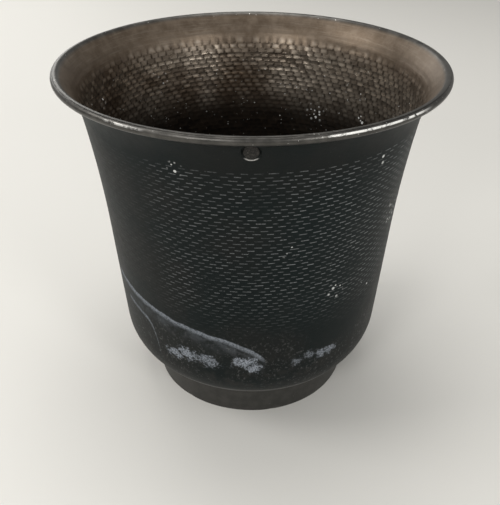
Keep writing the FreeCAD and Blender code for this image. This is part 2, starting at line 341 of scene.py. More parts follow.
def hammer(piece):
    """Move the points of the raised sheet along their normals, blow by blow."""
    places, run = read_points(piece), read_run(piece)
    angle = np.arctan2(places[:, 0], -places[:, 1])

    down = (run - DENTS_START) / DENT_HEIGHT
    down = np.maximum(down / 2, down - 1)
    row = np.floor(down)
    along = angle / (2 * pi) * DENTS_ROUND + row * DENT_SHIFT
    column = np.floor(along)
    across, up = 2 * (along - column) - 1, 2 * (down - row) - 1
    blow = np.mod(column, DENTS_ROUND)
    strength = 0.55 + 0.9 * scatter(row, blow, 2)
    tilt = DENT_TILT * (scatter(row, blow, 3) - 0.5)
    lean = DENT_LEAN * (scatter(row, blow, 5) - 0.5)
    dent = strength * (1 - across ** 2) * (1 - up ** 2) + tilt * across + lean * up
    inside = rise(run, DENTS_START - 4 * MM, DENTS_START + 5 * MM)
    inside *= 1 - rise(run, DENTS_END, DENTS_END + 9 * MM)
    moved = -DENT_DEPTH * dent * inside

    down = (RIPPLES_START - run) / RIPPLE_HEIGHT
    row = np.floor(down)
    along = angle / (2 * pi) * RIPPLES_ROUND + RIPPLE_SHIFT * row
    ripple = (1 - (2 * (down - row) - 1) ** 2) * (0.6 + 0.8 * scatter(row, np.floor(along), 4))
    outside = rise(RIPPLES_START - run, 0, 6 * MM)
    outside *= 1 - rise(RIPPLES_START - run, *RIPPLES_FADE)
    moved -= RIPPLE_DEPTH * ripple * outside * (run < LIP_RUN)

    # the whole wall is a little out of round, as any raised pot is; the rim hardly at all
    loose = np.sin(3 * angle + 0.7) + 0.6 * np.sin(5 * angle - 1.1 + 30 * places[:, 2])
    sway = OUT_OF_ROUND / MEAN_RADIUS * loose * (1 - rise(places[:, 2], 0.24, RIM_HEIGHT))
    places += read_points(piece, "normal") * moved[:, None]
    above_bottom = places[:, 2] > BOTTOM_HEIGHT + 4 * MM
    places[:, :2] *= np.where(above_bottom, 1 + sway, 1)[:, None]
    write_points(piece, places)


hammer(vessel)
rows = (DENTS_END - DENTS_START) / DENT_HEIGHT - 1
print(f"about {rows:.0f} rows of {DENTS_ROUND} dents, {DENT_HEIGHT / MM:.1f} mm high")

# %% [markdown]
# ## The seat for the rivet
# Under the rim at the front, a round cup was pressed into the lip so that the rivet's flat head
# lies below the surface. The mesh there is too coarse for a cup of 12 mm, so the faces round it
# are subdivided first. Then each point within the cup slides along the rivet's axis to the
# cup's floor. Outer and inner skin move together, so the sheet keeps its thickness.

# %% The seat for the rivet
RIVET_LEAN = radians(26.5)
RIVET_TILT = radians(10)
SEAT_RADIUS = 5.8 * MM
SEAT_DEPTH = 2.0 * MM
SEAT_REACH = 9 * MM
SEAT_LIP = 0.7 * MM
HEAD_RADIUS = 5.0 * MM
HEAD_THICKNESS = 0.8 * MM
TAIL_RADIUS = 4.2 * MM
TAIL_HEIGHT = 1.2 * MM

rivet_point = square_out(flare_centre, -FLARE_RADIUS, RIVET_LEAN)
rivet_place = Vector((0, -rivet_point.x, rivet_point.y))
rivet_axis = Vector((0, -cos(RIVET_TILT), -sin(RIVET_TILT)))
rivet_middle = (rivet_low + rivet_high) / 2
off_axis = (rivet_middle - rivet_place).cross(rivet_axis).length
print(f"the design's rivet lies {off_axis / MM:.3f} mm off this axis")


def press_seat(piece):
    """Subdivide round the rivet, then press the cup."""
    bpy.ops.object.select_all(action="DESELECT")
    piece.select_set(True)
    bpy.context.view_layer.objects.active = piece
    for face in piece.data.polygons:
        apart = face.center - rivet_place
        beside = apart.cross(rivet_axis).length < SEAT_REACH
        face.select = beside and abs(apart.dot(rivet_axis)) < SEAT_REACH
    bpy.ops.object.mode_set(mode="EDIT")
    bpy.ops.mesh.select_mode(type="FACE")
    bpy.ops.mesh.subdivide(number_cuts=2, ngon=False, quadcorner="INNERVERT")
    bpy.ops.mesh.select_all(action="DESELECT")
    bpy.ops.object.mode_set(mode="OBJECT")
    places, axis = read_points(piece), np.array(rivet_axis)
    apart = places - np.array(rivet_place)
    depth = apart @ axis
    radial = np.linalg.norm(apart - depth[:, None] * axis, axis=1)
    inner_skin = read_run(piece) > BEAD_RUN
    floor_depth = np.where(inner_skin, -SEAT_DEPTH - SHEET, -SEAT_DEPTH)
    radius = np.where(inner_skin, SEAT_RADIUS + SHEET, SEAT_RADIUS)
    near = np.abs(depth) < SEAT_REACH
    pressed = (1 - rise(radial, radius, radius + SEAT_LIP)) * near * (depth > floor_depth)
    places += (pressed * (floor_depth - depth))[:, None] * axis
    write_points(piece, places)


def smooth(piece, sharp=50):
    """Shade a piece smooth, but keep the edges that turn more than an angle."""
    bpy.ops.object.select_all(action="DESELECT")
    piece.select_set(True)
    bpy.context.view_layer.objects.active = piece
    bpy.ops.object.shade_smooth_by_angle(angle=radians(sharp))
    piece.select_set(False)


press_seat(vessel)
smooth(vessel)
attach(vessel, "root")
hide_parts("body")
print(f"vessel: {len(vessel.data.vertices)} points after the seat is pressed")

# %% [markdown]
# ## The rivet
# A flat head, a shank and a hammered tail. It is the same kind of job as the pot, so the same
# lathe makes it: a short chain spun round the upright axis, then laid on its real axis. The
# turn and the place are applied, so the finished object sits unturned at the origin.

# %% The rivet
SHANK_RADIUS = 2.5 * MM
HEAD_EDGE = 0.3 * MM
TAIL_EDGE = 0.7 * MM
TAIL_BLOWS = (0.5, 2.9, -1.8)
HEAD_UNEVEN = 0.07 * MM

head_top = -SEAT_DEPTH + HEAD_THICKNESS
tail_end = -SEAT_DEPTH - SHEET - TAIL_HEIGHT
chain = [Vector((0, head_top))]
line(chain, Vector((HEAD_RADIUS - HEAD_EDGE, head_top)), 0.6 * MM)
arc(chain, Vector((HEAD_RADIUS - HEAD_EDGE, head_top - HEAD_EDGE)), HEAD_EDGE, pi / 2, 0, 0.12 * MM)
line(chain, Vector((HEAD_RADIUS, -SEAT_DEPTH)), 0.25 * MM)
line(chain, Vector((SHANK_RADIUS, -SEAT_DEPTH)), 1 * MM)
line(chain, Vector((SHANK_RADIUS, -SEAT_DEPTH - SHEET)), 0.8 * MM)
line(chain, Vector((TAIL_RADIUS, -SEAT_DEPTH - SHEET)), 0.8 * MM)
tail_bend = Vector((TAIL_RADIUS - TAIL_EDGE, tail_end + TAIL_EDGE))
line(chain, Vector((TAIL_RADIUS, tail_bend.y)), 0.25 * MM)
arc(chain, tail_bend, TAIL_EDGE, 0, -pi / 2, 0.2 * MM)
line(chain, Vector((0, tail_end)), 0.6 * MM)
rivet = lathe("rivet", chain, 64)


def beat_rivet(piece):
    """Leave the flats of a few blows on the tail and a slightly uneven head."""
    places = read_points(piece)
    for side in TAIL_BLOWS:
        flat = places[:, 0] * cos(side) + places[:, 1] * sin(side)
        on_tail = places[:, 2] < head_top - 2 * HEAD_THICKNESS
        cut = np.maximum(0, flat - (TAIL_RADIUS - 0.5 * MM)) * on_tail
        places[:, 2] += 0.6 * cut * (places[:, 2] < tail_end + TAIL_EDGE)
        places[:, 0] -= 0.5 * cut * cos(side)
        places[:, 1] -= 0.5 * cut * sin(side)
    angle = np.arctan2(places[:, 1], places[:, 0])
    outer = np.hypot(places[:, 0], places[:, 1]) / HEAD_RADIUS
    head = places[:, 2] > head_top - HEAD_EDGE
    wave = 1 + np.sin(2 * angle + 0.6) + 0.5 * np.sin(5 * angle)
    places[:, 2] -= HEAD_UNEVEN * head * outer * wave
    write_points(piece, places)


def lay_on_axis(piece):
    """Turn a piece made upright at the origin to the rivet's axis and place."""
    bpy.ops.object.select_all(action="DESELECT")
    piece.select_set(True)
    bpy.context.view_layer.objects.active = piece
    piece.rotation_euler = rivet_axis.to_track_quat("Z", "X").to_euler()
    piece.location = rivet_place
    bpy.ops.object.transform_apply(location=True, rotation=True, scale=True)
    piece.select_set(False)


beat_rivet(rivet)
lay_on_axis(rivet)
smooth(rivet, 40)
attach(rivet, "root")
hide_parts("rim_rivet")

# %% [markdown]
# ## The foot ring
# A band of thicker sheet stands under the round corner. Its upper edge was filed to the curve
# of the pot and its lower edge is rounded by wear. Hand work is never a true circle, so the
# band sways a little, most of all at its lower edge, which also has a few small dings.

# %% The foot ring
BRAZE_GAP = 0.3 * MM
BRAZE_LEG = 2.5 * MM
FOOT_EDGE = 0.5 * MM
DING_DEPTH = 0.35 * MM
DING_REACH = 5 * MM
# the angle of each ding, and its share of the depth
DINGS = ((-38, 1.0), (12, 0.7), (75, 1.2), (151, 0.9), (-120, 1.1), (-170, 0.6))


def under_pot(radial, gap):
    """The height of a point under the round corner, a gap away from it."""
    reach = CORNER_RADIUS + gap
    return corner_centre.y - sqrt(reach ** 2 - (radial - corner_centre.x) ** 2)


foot_inside = FOOT_RADIUS - FOOT_SHEET
chain = [Vector((foot_inside + FOOT_EDGE, 0))]
line(chain, Vector((FOOT_RADIUS - FOOT_EDGE, 0)), 0.5 * MM)
arc(chain, Vector((FOOT_RADIUS - FOOT_EDGE, FOOT_EDGE)), FOOT_EDGE, -pi / 2, 0, 0.2 * MM)
line(chain, Vector((FOOT_RADIUS, under_pot(FOOT_RADIUS, BRAZE_GAP))), 1.2 * MM)
line(chain, Vector((foot_inside, under_pot(foot_inside, BRAZE_GAP))), 0.7 * MM)
line(chain, Vector((foot_inside, FOOT_EDGE)), 2 * MM)
arc(chain, Vector((foot_inside + FOOT_EDGE, FOOT_EDGE)), FOOT_EDGE, -pi, -3 * pi / 2, 0.2 * MM)
foot_band = lathe("foot_band", chain[:-1] + chain[:1], 216, closed=True)


def wear_foot(piece):
    """Sway the band in and out and ding its lower edge."""
    places = read_points(piece)
    angle = np.arctan2(places[:, 0], -places[:, 1])
    low = 1 - places[:, 2] / foot_high.z
    sway = 0.16 * np.sin(2 * angle + 0.8) + 0.1 * np.sin(5 * angle - 0.4) + 0.05 * np.sin(11 * angle)
    radial = np.hypot(places[:, 0], places[:, 1])
    inwards = (sway - 0.3) * MM * low ** 2
    for where, share in DINGS:
        apart = np.abs((angle - radians(where) + pi) % (2 * pi) - pi) * FOOT_RADIUS
        near = 1 - rise(np.hypot(apart, 1.6 * places[:, 2]), 0, DING_REACH)
        inwards -= DING_DEPTH * share * near
    places[:, :2] *= (1 + inwards / radial)[:, None]
    write_points(piece, places)


wear_foot(foot_band)
smooth(foot_band)
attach(foot_band, "root")
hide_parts("foot_ring")

# %% [markdown]
# ## The brazing
# Brass was run into the joint between the band and the pot. It fills the film between them and
# climbs into a hollow fillet on both sides. The fillet is a curve from wall to wall, and waves
# of three lengths make it swell and thin as the torch moved round.

# %% The brazing
FILLET_STEPS = 6
FILM_STEPS = 8
FLOW_DEPTH = 0.12 * MM


def fillet(points, corner, start, end):
    """A hollow curve from the chain's last point to the next that hangs towards a corner."""
    for index in range(1, FILLET_STEPS + 1):
        share = index / FILLET_STEPS
        near_start, near_end = (1 - share) ** 2, share ** 2
        points.append(start * near_start + corner * 2 * share * (1 - share) + end * near_end)


def braze_corner(radial, side):
    """Where a fillet starts on the band, its corner, and where it ends under the pot."""
    top = under_pot(radial, 0)
    start = Vector((radial, under_pot(radial, BRAZE_GAP) - BRAZE_LEG))
    far = radial + side * BRAZE_LEG
    middle = Vector((radial + side * BRAZE_GAP, top - BRAZE_GAP))
    return start, middle, Vector((far, under_pot(far, 0)))


start, corner, end = braze_corner(FOOT_RADIUS, 1)
chain = [start]
fillet(chain, corner, start, end)
inner_start, inner_corner, inner_end = braze_corner(foot_inside, -1)
for index in range(1, FILM_STEPS + 1):
    radial = end.x + (inner_end.x - end.x) * index / FILM_STEPS
    chain.append(Vector((radial, under_pot(radial, 0))))
fillet(chain, inner_corner, inner_end, inner_start)
line(chain, Vector((foot_inside, under_pot(foot_inside, BRAZE_GAP))), 1 * MM)
line(chain, Vector((FOOT_RADIUS, under_pot(FOOT_RADIUS, BRAZE_GAP))), 0.7 * MM)
line(chain, start, 1 * MM)
brazing = lathe("brazing", chain, 240, closed=True)


def flow_braze(piece):
    """Swell and thin the fillets."""
    places = read_points(piece)
    angle = np.arctan2(places[:, 0], -places[:, 1])
    radial = np.hypot(places[:, 0], places[:, 1])
    free = np.maximum(radial - FOOT_RADIUS, foot_inside - radial)
    free = rise(free, 0.1 * MM, 0.8 * MM) * (under_pot(radial.mean(), 0) + MM > places[:, 2])
    flow = np.sin(17 * angle) + np.sin(29 * angle + 1.3) + 0.7 * np.sin(53 * angle + 0.4)
    places[:, 2] -= FLOW_DEPTH * flow * free
    write_points(piece, places)


flow_braze(brazing)
smooth(brazing)
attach(brazing, "root")
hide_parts("foot_braze")

# %% [markdown]
# ## Sums on sockets
# A finish is a sum of many masks. In the node editor each plus and times is a node of its own.
# Here a small class wraps a socket and makes those nodes when values are added or multiplied,
# so that a mask reads like the formula it is.

# %% Sums on sockets


class Socket:
    """What one node gives. Sums on it add Math nodes, and node() adds any other."""

    def __init__(self, tree, link):
        self.tree = tree
        self.link = link

    def node(self, kind, settings=None, inputs=None, output=0):
        """Add a node: its type, its settings, and the values or links of its sockets."""
        made = self.tree.nodes.new(kind)
        for name, value in (settings or {}).items():
            setattr(made, name, value)
        for name, value in (inputs or {}).items():
            if isinstance(value, Socket):
                self.tree.links.new(value.link, made.inputs[name])
            else:
                made.inputs[name].default_value = value
        return Socket(self.tree, made.outputs[output])

    def other(self, name):
        """Another socket of the node that gives this one."""
        return Socket(self.tree, self.link.node.outputs[name])

    def math(self, operation, *values):
        return self.node("ShaderNodeMath", {"operation": operation}, dict(enumerate(values)))

    def vector(self, operation, value, output=0):
        return self.node("ShaderNodeVectorMath", {"operation": operation}, {0: self, 1: value}, output)

    def rises(self, low, high):
        """0 at low, 1 at high, with an even S between; low may be the larger one."""
        limits = {"Value": self, "From Min": low, "From Max": high}
        return self.node("ShaderNodeMapRange", {"interpolation_type": "SMOOTHSTEP"}, limits)

    def most(self, other):
        return self.math("MAXIMUM", self, other)

    def __add__(self, other):
        return self.math("ADD", self, other)

    def __sub__(self, other):
        return self.math("SUBTRACT", self, other)

    def __rsub__(self, other):
        return self.math("SUBTRACT", other, self)

    def __mul__(self, other):
        return self.math("MULTIPLY", self, other)

    def __truediv__(self, other):
        return self.math("DIVIDE", self, other)

    def __neg__(self):
        return self.math("MULTIPLY", self, -1)

    def __abs__(self):
        return self.math("ABSOLUTE", self)

    __radd__ = __add__
    __rmul__ = __mul__


# %% [markdown]
# ## Masks and colours
# A few helpers stand on the sockets: noise, round specks, one colour laid over another, and the
# last step that links a finish to its shader. A value that is the same all over the surface
# stays a plain number on the shader.

# %% Masks and colours


def finish(name):
    """A new material: itself, its shader, and the place of each point of the surface."""
    material = bpy.data.materials.new(name)
    material.use_nodes = True
    tree = material.node_tree
    place = Socket(tree, tree.nodes.new("ShaderNodeTexCoord").outputs["Object"])
    return material, tree.nodes["Principled BSDF"], place


def clouds(place, size, detail=3, roughness=0.5):
    """Noise from about 0.2 to 0.8, with blotches of a size."""
    inputs = {"Vector": place, "Scale": 1 / size, "Detail": detail, "Roughness": roughness}
    return place.node("ShaderNodeTexNoise", None, inputs)


def specks(place, spacing, size, share):
    """Round specks, one in each cell of a size whose draw falls within a share."""
    cell = place.node("ShaderNodeTexVoronoi", None, {"Vector": place, "Scale": 1 / spacing})
    draw = cell.node("ShaderNodeSeparateColor", None, {"Color": cell.other("Color")})
    reach = size / spacing * (0.4 + 0.6 * draw / share)
    return (cell / reach).rises(1, 0.6) * draw.math("LESS_THAN", draw, share)


def paint(mask, under, over):
    """Lay a colour over another where a mask is 1."""
    colours = [value if isinstance(value, Socket) else (*value, 1) for value in (under, over)]
    inputs = {0: mask, 6: colours[0], 7: colours[1]}
    return mask.node("ShaderNodeMix", {"data_type": "RGBA"}, inputs, output=2)


def dress(material, shader, colour, roughness, metallic=None, height=None, distance=MM):
    """Link what changes over the surface to the shader."""
    tree = material.node_tree
    links = {"Base Color": colour, "Roughness": roughness, "Metallic": metallic}
    if height is not None:
        links["Normal"] = height.node("ShaderNodeBump", None, {"Height": height, "Distance": distance})
    for name, value in links.items():
        if isinstance(value, Socket):
            tree.links.new(value.link, shader.inputs[name])
        elif value is not None:
            shader.inputs[name].default_value = value
    print(f"{material.name}: {len(tree.nodes)} nodes")
    return material


def wear(piece, material):
    """Give a piece one material."""
    piece.data.materials.clear()
    piece.data.materials.append(material)


# %% [markdown]
# ## Black iron
# One sheet, three skins. Outside it is matt black with the faint blue of old lacquer, and a
# short pale line lies on the crest of each ripple, worn lacquer with a painted highlight. Inside it
# is bare brown iron, half polished, painted black with depth as a painted shade. The rolled edge is
# rubbed through to grey metal.
# All three are built from the same few things: the height, the angle from the front, the run
# along the section, and clouds of noise at several sizes. These are made once and handed on.

# %% What the skins share
# noise that is read this much slower round the pot than along its run is drawn out into rings
RING_STRETCH = 0.06


def pair(x, y):
    """A vector of two values."""
    return x.node("ShaderNodeCombineXYZ", None, {"X": x, "Y": y})


def round_axis(place):
    """The angle from the front, in radians, and the height."""
    x = place.node("ShaderNodeSeparateXYZ", None, {"Vector": place})
    return x.math("ARCTAN2", x, -x.other("Y")), x.other("Z")


def share_out(place):
    """The coordinates, masks and noise that the vessel's skins have in common."""
    angle, height = round_axis(place)
    run = place.node("ShaderNodeAttribute", {"attribute_name": "run"}, output="Fac")
    skin = SimpleNamespace(place=place, angle=angle, height=height, run=run)
    skin.turn = angle * (180 / pi)
    skin.flat = pair(angle * MEAN_RADIUS, height)
    skin.rings = pair(angle * (MEAN_RADIUS * RING_STRETCH), run)
    skin.broad = clouds(place, 60 * MM, 4)
    skin.mottled = clouds(place, 9 * MM, 5, 0.6)
    skin.grain = clouds(place, 1.4 * MM, 3, 0.6)
    skin.fine = clouds(place, 0.9 * MM, 2, 0.6)
    skin.outside = run.rises(LIP_RUN, LIP_RUN - MM)
    skin.inside = run.rises(BEAD_RUN - 0.5 * MM, BEAD_RUN + 0.5 * MM)
    skin.edge = run.rises(LIP_RUN - 1.5 * MM, LIP_RUN)
    skin.edge = skin.edge * run.rises(BEAD_RUN + 3.5 * MM, BEAD_RUN - 0.5 * MM)
    skin.deep = height.rises(0.245, 0.19)
    return skin


print(f"rings are noise drawn out {1 / RING_STRETCH:.0f} times round the pot")

# %% [markdown]
# ## Lacquer
# The lacquer is almost black, bluest at the front right, and browner and dustier towards the
# foot, where hands and wet ground have been at it. A thin pale line on the round corner is rubbed
# wear with a painted highlight along its limb.

# %% Lacquer
LACQUER = (0.0030, 0.0064, 0.0066)
LACQUER_WORN = (0.0066, 0.0080, 0.0076)
LACQUER_TEAL = (0.003, 0.0085, 0.0092)
LACQUER_BROWN = (0.024, 0.023, 0.021)
DUST = (0.15, 0.152, 0.15)
FLECK = (0.16, 0.155, 0.145)
RUBBED_LINE_AND_HIGHLIGHT = (0.13, 0.128, 0.122)


def lacquer_skin(skin):
    place, height, turn = skin.place, skin.height, skin.turn
    low = height.rises(0.115, 0.045)
    colour = paint(skin.broad.rises(0.35, 0.65), LACQUER, LACQUER_WORN)
    teal = turn.rises(-8, 20) * turn.rises(60, 34) * height.rises(0.09, 0.14) * height.rises(0.25, 0.2)
    colour = paint(teal * skin.broad * 0.9, colour, LACQUER_TEAL)
    colour = paint(low * skin.mottled.rises(0.4, 0.72) * 0.7, colour, LACQUER_BROWN)
    dust = clouds(place, 2.6 * MM, 5, 0.75).rises(0.53, 0.68) * height.rises(0.125, 0.075)
    colour = paint(dust * skin.broad.rises(0.35, 0.55) * 0.5, colour, DUST)
    # painted highlight with rubbed wear: a pale line round the round corner, along its limb
    limb_rub_and_highlight = height.rises(0.044, 0.0415) * height.rises(0.0365, 0.039)
    colour = paint(limb_rub_and_highlight * skin.grain.rises(0.2, 0.6) * 0.75, colour, RUBBED_LINE_AND_HIGHLIGHT)
    flecks = specks(place, 3 * MM, 0.36 * MM, 0.5) * (0.3 + 0.7 * low)
    return paint(flecks * skin.broad.rises(0.3, 0.55) * 0.8, colour, FLECK)


print(f"worn lacquer is {sum(LACQUER_WORN) / sum(LACQUER):.1f} times as bright")

# %% [markdown]
# ## The hammer's lines
# A pale line is painted on each ripple's crest, partly worn lacquer and partly a painted
# highlight where the crest catches the light, so the lines stand in the same rows as the
# ripples. Clouds bend the rows a little, and each line draws its own length, place and
# strength from white noise on its row and column. As painted light, the lines are strongest
# from the front right round to the back, faint at the front left, and end well above the foot.

# %% The hammer's lines
LINE_WEAR_AND_GLINT_GREY = (0.2, 0.21, 0.215)
LINE_LENGTH = 0.58
LINE_WIDTH = 0.24


def hammer_line_wear_and_glints(skin):
    """1 on the pale lines of the ripples' crests: worn lacquer with a painted highlight."""
    place, turn = skin.place, skin.turn
    down = (RIPPLES_START - skin.run) / RIPPLE_HEIGHT + (clouds(place, 26 * MM, 1) - 0.5) * 0.55
    row = down.math("ROUND", down)
    along = skin.angle * (RIPPLES_ROUND / (2 * pi)) + row * RIPPLE_SHIFT
    along = along + (clouds(place, 40 * MM, 1) - 0.5) * 1.2
    cell = pair(along.math("FLOOR", along), row)
    draw = cell.node("ShaderNodeTexWhiteNoise", {"noise_dimensions": "2D"}, {"Vector": cell})
    second = cell.node("ShaderNodeSeparateColor", None, {"Color": draw.other("Color")}, output="Green")
    beside = abs(along.math("FRACT", along) - 0.5 + (second - 0.5) * 0.16)
    above = abs(down - row + (second - 0.5) * 0.22)
    line_end = LINE_LENGTH / 2 * (0.7 + 0.45 * draw)
    lines = (beside - line_end).rises(0.03, -0.05)
    lines = lines * above.rises(LINE_WIDTH * 0.62, LINE_WIDTH * 0.3)
    worked = down.rises(-0.8, 0.4) * skin.height.rises(0.1, 0.155)
    # painted light: the lines are strongest on the lit side, front right to back, and faint at the front
    # left
    facing = turn.rises(-38, -24) * (0.6 + 0.4 * turn.rises(-5, 36))
    facing = (0.1 + 0.9 * facing).most(turn.rises(-66, -84) * 0.6)
    strength = (0.35 + 0.65 * second) * skin.grain.rises(0.28, 0.5)
    strength = strength * (0.4 + 0.6 * clouds(place, 22 * MM, 2).rises(0.3, 0.5))
    return lines * worked * facing * strength * skin.outside


line_step = 2 * pi * MEAN_RADIUS / RIPPLES_ROUND
print(f"lines about {line_step * LINE_LENGTH / MM:.1f} mm long, {RIPPLE_HEIGHT / MM:.2f} mm apart")

# %% [markdown]
# ## Lime
# Water stood in a tub round the pot and left a tide mark: sharp above, hazy below, falling
# to the right until it plunges. A thinner one lies under it at the left. Below them the lime
# gathered in patches, low on the wall, just above the round corner. A patch is two blots,
# shifted and sized by chance.

# %% Lime
LIME = (0.33, 0.36, 0.41)
# each mark runs from one angle to another: its top, how far it falls, how far it plunges
TIDE_MARK = (-68, 5, 121 * MM, 22 * MM, 15 * MM)
SECOND_MARK = (-60, -41, 103 * MM, 8 * MM, 30 * MM)
# the angle of each whitish patch and how strong it is
LIME_PATCHES = ((-29, 0.75), (-14, 0.6), (0, 0.85), (20, 0.4), (32, 0.6))
# the patches' height in millimetres, and how many blots make one
LIME_HEIGHT = 77
LIME_BLOTS = 2


def tide(turn, height, mark):
    """How far above a mark the surface is: the mark falls evenly and plunges at its end."""
    first, last, top, fall, plunge = mark
    along = (turn - first) / (last - first)
    within = along.rises(-0.02, 0.02) * along.rises(1.02, 0.98)
    return height - top + along * fall + along.math("POWER", along, 10) * plunge, within


def spot(flat, angle, height, width, tall, ragged):
    """A blot about a place of the unrolled surface, sized in millimetres, with a ragged edge."""
    centre = (radians(angle) * MEAN_RADIUS / (width * MM), height / tall, 0)
    scaled = flat.vector("MULTIPLY", (1 / (width * MM), 1 / (tall * MM), 0))
    return (scaled.vector("DISTANCE", centre, output=1) + ragged).rises(1.1, 0.5)


def lime_marks(skin):
    """How much dried lime lies on the surface."""
    place = skin.place
    above, within = tide(skin.turn, skin.height, TIDE_MARK)
    above = above + (clouds(place, 12 * MM, 4, 0.6) - 0.5) * (5 * MM)
    ridge = above.rises(-5.5 * MM, -0.6 * MM) * above.rises(1.6 * MM, 0.3 * MM) * within
    haze = above.rises(-20 * MM, -3 * MM) * above.rises(1.2 * MM, 0) * within
    lime = ridge * skin.grain.rises(0.2, 0.62) * 0.55
    lime = lime.most(haze * skin.mottled.rises(0.35, 0.7) * 0.13)
    above, within = tide(skin.turn, skin.height, SECOND_MARK)
    above = above + (clouds(place, 8 * MM, 4, 0.6) - 0.5) * (4 * MM)
    lime = lime.most(abs(above).rises(3 * MM, 0.3 * MM) * within * skin.grain.rises(0.25, 0.6) * 0.42)
    ragged = (clouds(place, 3.2 * MM, 4, 0.7) - 0.5) * 3.4
    for where, share in LIME_PATCHES:
        for blot in range(LIME_BLOTS):
            aside = 9 * (scatter(where, blot, 7) - 0.5)
            lift = 8 * (scatter(where, blot, 8) - 0.5)
            wide = (5 + 4 * scatter(where, blot, 9)) * (0.5 + share)
            tall = (3.5 + 2 * scatter(where, blot, 6)) * (0.5 + share)
            blotch = spot(skin.flat, where + aside, LIME_HEIGHT + lift, wide, tall, ragged)
            lime = lime.most(blotch * skin.fine.rises(0.3, 0.62) * share)
    return lime


print(f"{len(LIME_PATCHES) * LIME_BLOTS} blots of lime, {LIME_HEIGHT} mm up")

# %% [markdown]
# ## Chips and dust
# Knocks have taken the skin off in small groups. Each group is an area in which a pattern of
# round specks shows. Finer white dust lies on the hammered part of the inside, and hardly any
# of it outside.

# %% Chips and dust
WHITE = (0.62, 0.63, 0.62)
# where the skin is chipped, outside and inside: angle, height and reach in millimetres
CHIPPED = ((32, 140, 9), (50, 130, 9), (62, 185, 14), (12, 188, 7), (-6, 208, 5),
           (-22, 250, 6), (43, 246, 7))
CHIPPED_INSIDE = ((-103, 238, 6), (126, 205, 7), (150, 200, 10), (-140, 235, 6), (-138, 195, 7))


def chipped_areas(flat, areas):
    """1 in each area where the skin is chipped."""
    mask = 0
    for angle, height, reach in areas:
        mask = spot(flat, angle, height, reach, reach, 0) + mask
    return mask


def white_specks(skin):
    """1 on chips and dust, on either side."""
    place, height, inside = skin.place, skin.height, skin.inside
    coarse = specks(place, 5 * MM, 0.62 * MM, 0.6) * (0.06 + 0.94 * inside)
    small = specks(place, 2.6 * MM, 0.4 * MM, 0.2) * inside
    white = (coarse * height.rises(0.262, 0.235)).most(small * height.rises(0.25, 0.22))
    chipped = chipped_areas(skin.flat, CHIPPED) * skin.outside
    chipped = chipped + chipped_areas(skin.flat, CHIPPED_INSIDE) * inside
    return white.most(specks(place, 3.9 * MM, 1.7 * MM, 0.85) * chipped * skin.fine.rises(0.3, 0.42))


print(f"{len(CHIPPED)} chipped areas outside and {len(CHIPPED_INSIDE)} inside")

# %% [markdown]
# ## Bare iron inside
# The flare was polished in rings and is warm brown. Below it every blow left a dent. A dark line
# is painted round each dent, a painted shade between the facets, with a painted highlight in its
# middle, and the right side of the hammered part is painted paler as its lit side. A crease marks
# where the hammering starts, with a thin painted shade along it. The lines follow the dents' rows
# and columns, bent a little by clouds. Deeper down it is painted black as a painted shade, and a
# little pale dirt has settled on the bottom.

# %% Bare iron inside
FLARE_BROWN = (0.110, 0.083, 0.060)
FLARE_WARM = (0.160, 0.126, 0.096)
FLARE_POLISHED = (0.235, 0.2, 0.165)
HAMMERED_BROWN = (0.115, 0.083, 0.058)
HAMMERED_GREY_AND_LIT_SIDE = (0.33, 0.285, 0.235)
DEEP_SHADE_BLACK = (0.0035, 0.0026, 0.0020)
GAP_SHADE_BLACK = (0.02, 0.014, 0.010)
DULL_BLOW = (0.03, 0.022, 0.016)
BLOW_HIGHLIGHT = (0.42, 0.37, 0.31)
SETTLED = (0.085, 0.072, 0.056)
CREASE_SHADE_BROWN = (0.05, 0.042, 0.034)
CREASE_RUN = BEAD_RUN + 16.5 * MM


def blow_pattern(skin):
    """Across and up each dent, 0 in its middle and 1 at its edge, and its draw."""
    place = skin.place
    down = (skin.run - DENTS_START) / DENT_HEIGHT
    down = (down / 2).most(down - 1) + (clouds(place, 7 * MM, 2) - 0.5) * 0.25
    row = down.math("FLOOR", down)
    column = skin.angle * (DENTS_ROUND / (2 * pi)) + row * DENT_SHIFT
    column = column + (clouds(place, 6 * MM, 2) - 0.5) * 0.45
    across = abs(column.math("FRACT", column) * 2 - 1)
    up = abs(down.math("FRACT", down) * 2 - 1)
    blow = pair(column.math("FLOOR", column), row)
    draw = blow.node("ShaderNodeTexWhiteNoise", {"noise_dimensions": "2D"}, {"Vector": blow})
    return across, up, draw


